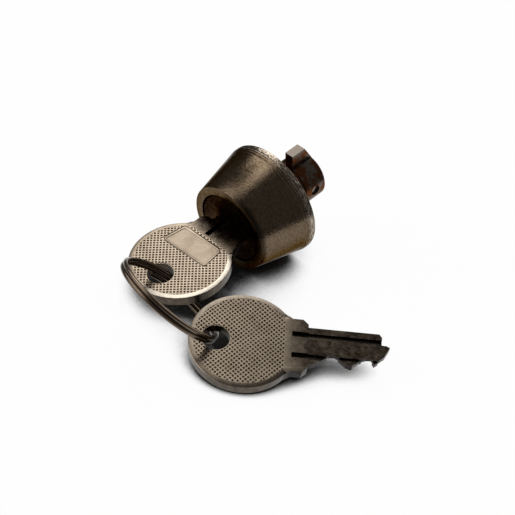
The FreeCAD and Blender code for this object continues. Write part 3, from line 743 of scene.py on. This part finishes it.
def new_spline(name, dimensions, points, smoothness):
    """A NURBS curve through control points, with its spline."""
    curve = bpy.data.curves.new(name, "CURVE")
    curve.dimensions = dimensions
    spline = curve.splines.new("NURBS")
    spline.points.add(len(points) - 1)
    for knot, point in zip(spline.points, points):
        knot.co = (*point, 1)
    spline.order_u = 4
    spline.resolution_u = smoothness
    return curve, spline


def ring_point(turn):
    """The wire's middle at an angle along its two turns, which start at the seam.

    At each crossing of the seam the wire climbs by one turn over 44 degrees, so that both of
    its ends lie on the turn beside them."""
    size = sizes()
    seam, half_climb = 180, 22
    level = -0.5
    for crossing in (360, 720):
        rise = share_of(math.degrees(turn), crossing - half_climb, 2 * half_climb)
        level += rise * rise * (3 - 2 * rise)
    angle = turn + math.radians(seam)
    direction = math.cos(angle) * RING_LINE + math.sin(angle) * RING_ACROSS
    return RING_CENTRE + direction * size.ring_radius - RING_NORMAL * level * size.turn_pitch


def make_split_ring():
    size = sizes()
    start, stop = math.radians(19), math.radians(757)
    steps = int(round((stop - start) / math.radians(15)))
    turns, line = new_spline(
        "ring_line", "3D", [ring_point(start + (stop - start) * i / steps)
                            for i in range(steps + 1)], 6)
    line.use_endpoint_u = True
    # Control points lie outside their curve, so they stand at a little over half the wire's size
    around = [2 * math.pi * i / 12 for i in range(12)]
    wire, edge = new_spline(
        "wire_section", "2D", [(squared(math.cos(angle)) * size.wire_width * 0.55,
                                squared(math.sin(angle)) * size.wire_height * 0.54, 0)
                               for angle in around], 2)
    edge.use_cyclic_u = True
    section = bpy.data.objects.new("wire_section", wire)
    turns.bevel_mode = "OBJECT"
    turns.bevel_object = section
    turns.use_fill_caps = True
    turns.twist_mode = "Z_UP"
    helper = bpy.data.objects.new("ring_line", turns)
    for item in (section, helper):
        bpy.context.scene.collection.objects.link(item)
    mesh = evaluated_mesh(helper)
    shape = bmesh.new()
    shape.from_mesh(mesh)
    bmesh.ops.remove_doubles(shape, verts=shape.verts, dist=1e-6)
    bmesh.ops.recalc_face_normals(shape, faces=shape.faces)
    for item in (section, helper):
        bpy.data.objects.remove(item)
    bpy.data.curves.remove(turns)
    bpy.data.curves.remove(wire)
    bpy.data.meshes.remove(mesh)
    finished("split_ring_wound", shape, finishes()["drawn_steel_ring"], "ring",
             ["split_ring"], smooth_angle=40)


# ---------------------------------------------------------------- stage

def make_stage():
    half_width, clearance = 3.0, 0.02 * MM
    shape = bmesh.new()
    bmesh.ops.create_grid(shape, x_segments=1, y_segments=1, size=half_width)
    bmesh.ops.translate(shape, verts=shape.verts, vec=(0, 0, CAD_BOX[0][2] - clearance))
    floor = loose_object("floor", shape)
    floor.data.materials.append(white_paper())


def white_paper():
    # White paper: even and bright to the camera and in the metal, darker only where the lock
    # and keys keep the light off it, which sets them down on it with a soft shadow
    material, tree = new_material("white_paper_floor")
    paper = node(tree, "ShaderNodeBsdfDiffuse", values={"Color": rgba(colours().floor)})
    seen = node(tree, "ShaderNodeLightPath").outputs
    shown = maths(tree, "MAXIMUM", seen["Is Camera Ray"], seen["Is Glossy Ray"])
    shown = maths(tree, "MAXIMUM", shown, seen["Is Transmission Ray"])
    near = node(tree, "ShaderNodeAmbientOcclusion", {"samples": 16},
                values={"Color": (1, 1, 1, 1), "Distance": 26 * MM}).outputs["AO"]
    open_share = ramp(tree, near, 0.35, 0.7, kind="SMOOTHSTEP")
    # The metal mirrors the sheet right up to the pieces, but not the far floor
    reach = node(tree, "ShaderNodeVectorMath", {"operation": "LENGTH"},
                 links={0: node(tree, "ShaderNodeTexCoord").outputs["Object"]}).outputs["Value"]
    sheet = ramp(tree, reach, 60 * MM, 100 * MM, 1.0, 0.1, "SMOOTHSTEP")
    lit = maths(tree, "MAXIMUM", seen["Is Camera Ray"], sheet)
    mirrored = maths(tree, "MULTIPLY", ramp(tree, near, 0.14, 0.46), seen["Is Glossy Ray"])
    strength = maths(tree, "MULTIPLY", maths(tree, "MAXIMUM", open_share, mirrored), lit)
    glow = node(tree, "ShaderNodeEmission", links={"Strength": strength},
                values={"Color": (1, 1, 1, 1)})
    white = node(tree, "ShaderNodeMixShader", values={0: 0.96},
                 links={1: paper.outputs["BSDF"], 2: glow.outputs["Emission"]})
    surface = node(tree, "ShaderNodeMixShader",
                   links={0: shown, 1: paper.outputs["BSDF"], 2: white.outputs["Shader"]})
    node(tree, "ShaderNodeOutputMaterial", links={"Surface": surface.outputs["Shader"]})
    return material


def soft_light(tree, way, direction, inner, outer, strength):
    """A round soft light seen in one direction of the studio, fading between two angles."""
    towards = node(tree, "ShaderNodeVectorMath", {"operation": "DOT_PRODUCT"}, links={0: way},
                   values={1: Vector(direction).normalized()}).outputs["Value"]
    return ramp(tree, towards, math.cos(math.radians(outer)), math.cos(math.radians(inner)),
                0.0, strength, "SMOOTHSTEP")


def make_light():
    world = bpy.data.worlds.new("studio")
    bpy.context.scene.world = world
    world.use_nodes = True
    tree = world.node_tree
    tree.nodes.clear()
    way = node(tree, "ShaderNodeTexCoord").outputs["Generated"]
    parts = node(tree, "ShaderNodeSeparateXYZ", links={"Vector": way}).outputs
    # A wide window overhead in a dim room, soft at its four sides and down to the horizon
    level = ramp(tree, parts["Z"], 0.0, 0.2, 0.0, WINDOW_BRIGHT)
    for axis, dark, bright in WINDOW_SIDES:
        level = maths(tree, "MULTIPLY", level, ramp(tree, parts[axis], dark, bright))
    for direction, inner, outer, strength in SOFT_LIGHTS:
        light = soft_light(tree, way, direction, inner, outer, strength)
        level = maths(tree, "ADD", light, level)
    level = node(tree, "ShaderNodeMath", {"operation": "ADD"}, links={0: level},
                 values={1: DIM_ROOM}).outputs["Value"]
    seen = node(tree, "ShaderNodeLightPath").outputs["Is Camera Ray"]
    room = node(tree, "ShaderNodeBackground", links={"Strength": level},
                values={"Color": rgba(linear("#FFFDFA"))})
    plain = node(tree, "ShaderNodeBackground", values={"Color": (1, 1, 1, 1), "Strength": 1.0})
    mixed = node(tree, "ShaderNodeMixShader",
                 links={0: seen, 1: room.outputs["Background"], 2: plain.outputs["Background"]})
    node(tree, "ShaderNodeOutputWorld", links={"Surface": mixed.outputs["Shader"]})


def make_camera():
    # Fitted to the photograph: the view's azimuth, elevation and roll in degrees, its distance
    # in millimetres, and in its picture the pixels per millimetre and where the lock's
    # shoulder falls
    azimuth, elevation, roll = (math.radians(a) for a in (38.895, 36.374, 9.646))
    distance, scale = 288.338, 4.1146
    shoulder_x, shoulder_y = 271.661, 197.811
    picture, sensor = 515, 36
    back = Vector((math.sin(azimuth) * math.cos(elevation),
                   -math.cos(azimuth) * math.cos(elevation), math.sin(elevation)))
    right = Vector((math.cos(azimuth), math.sin(azimuth), 0))
    up = back.cross(right)
    across = right * math.cos(roll) + up * math.sin(roll)
    rise = up * math.cos(roll) - right * math.sin(roll)
    offset_x = (shoulder_x - picture / 2) / scale
    offset_y = (picture / 2 - shoulder_y) / scale
    view = bpy.data.cameras.new("camera")
    view.sensor_width = sensor
    view.lens = scale * distance / picture * sensor
    view.clip_start = 0.01
    view.clip_end = 20
    camera = bpy.data.objects.new("camera", view)
    bpy.context.scene.collection.objects.link(camera)
    place = (back * distance - across * offset_x - rise * offset_y) * MM
    axes = Matrix((across, rise, back)).transposed().to_4x4()
    camera.matrix_world = Matrix.Translation(place) @ axes
    bpy.context.scene.camera = camera


# ---------------------------------------------------------------- add-on

class HITCHLOCK_OT_collar(bpy.types.Operator):
    """Turn the conical collar with its grooves and pin hole"""
    bl_idname = "hitch_lock.collar"
    bl_label = "Collar"

    def execute(self, context):
        make_collar()
        return {"FINISHED"}


class HITCHLOCK_OT_lock_pieces(bpy.types.Operator):
    """Dress the barrel, plug, lug cam and pins"""
    bl_idname = "hitch_lock.lock_pieces"
    bl_label = "Barrel, plug, cam and pins"

    def execute(self, context):
        make_lock_pieces()
        return {"FINISHED"}


class HITCHLOCK_OT_wafers(bpy.types.Operator):
    """Dress the wafers and their springs"""
    bl_idname = "hitch_lock.wafers"
    bl_label = "Wafers and springs"

    def execute(self, context):
        make_wafers()
        return {"FINISHED"}


class HITCHLOCK_OT_keys(bpy.types.Operator):
    """Make both keys with their pitted bows"""
    bl_idname = "hitch_lock.keys"
    bl_label = "Keys"

    def execute(self, context):
        # The key in the lock takes more painted shade on its wings, for the collar's shadow, and a
        # painted highlight on its rim; the spare takes painted shade on its rim
        make_key("key_in_lock", "lock_key", KEY_IN_LOCK, 0.9, 0.9)
        make_key("spare_key", "spare", SPARE_KEY, 0.68, 0.1)
        return {"FINISHED"}


class HITCHLOCK_OT_ring(bpy.types.Operator):
    """Wind the split ring through both keys"""
    bl_idname = "hitch_lock.ring"
    bl_label = "Split ring"

    def execute(self, context):
        make_split_ring()
        return {"FINISHED"}


class HITCHLOCK_OT_stage(bpy.types.Operator):
    """Lay the floor, light the lock and set the camera"""
    bl_idname = "hitch_lock.stage"
    bl_label = "Floor, light and camera"

    def execute(self, context):
        make_stage()
        make_light()
        make_camera()
        return {"FINISHED"}


class HITCHLOCK_PT_pieces(bpy.types.Panel):
    """Lists the pieces of the hitch lock"""
    bl_idname = "HITCHLOCK_PT_pieces"
    bl_label = "Hitch Lock"
    bl_space_type = "VIEW_3D"
    bl_region_type = "UI"
    bl_category = "Hitch Lock"

    def draw(self, context):
        for operator in OPERATORS:
            self.layout.operator(operator.bl_idname)
        for group in (context.scene.hitch_lock_sizes, context.scene.hitch_lock_colours):
            for name in group.__annotations__:
                self.layout.prop(group, name)


OPERATORS = (HITCHLOCK_OT_stage, HITCHLOCK_OT_collar, HITCHLOCK_OT_lock_pieces,
             HITCHLOCK_OT_wafers, HITCHLOCK_OT_keys, HITCHLOCK_OT_ring)
CLASSES = (HitchLockSizes, HitchLockColours) + OPERATORS + (HITCHLOCK_PT_pieces,)


def register():
    for item in CLASSES:
        bpy.utils.register_class(item)
    bpy.types.Scene.hitch_lock_sizes = PointerProperty(type=HitchLockSizes)
    bpy.types.Scene.hitch_lock_colours = PointerProperty(type=HitchLockColours)


def unregister():
    del bpy.types.Scene.hitch_lock_colours
    del bpy.types.Scene.hitch_lock_sizes
    for item in reversed(CLASSES):
        bpy.utils.unregister_class(item)


def plain(box):
    return [[float(number) for number in corner] for corner in box]


def main():
    register()
    scene = bpy.context.scene
    scene.view_settings.view_transform = "Standard"
    bpy.ops.hitch_lock.stage()
    bpy.ops.hitch_lock.collar()
    bpy.ops.hitch_lock.lock_pieces()
    bpy.ops.hitch_lock.wafers()
    bpy.ops.hitch_lock.keys()
    bpy.ops.hitch_lock.ring()


if __name__ == "__main__":
    main()
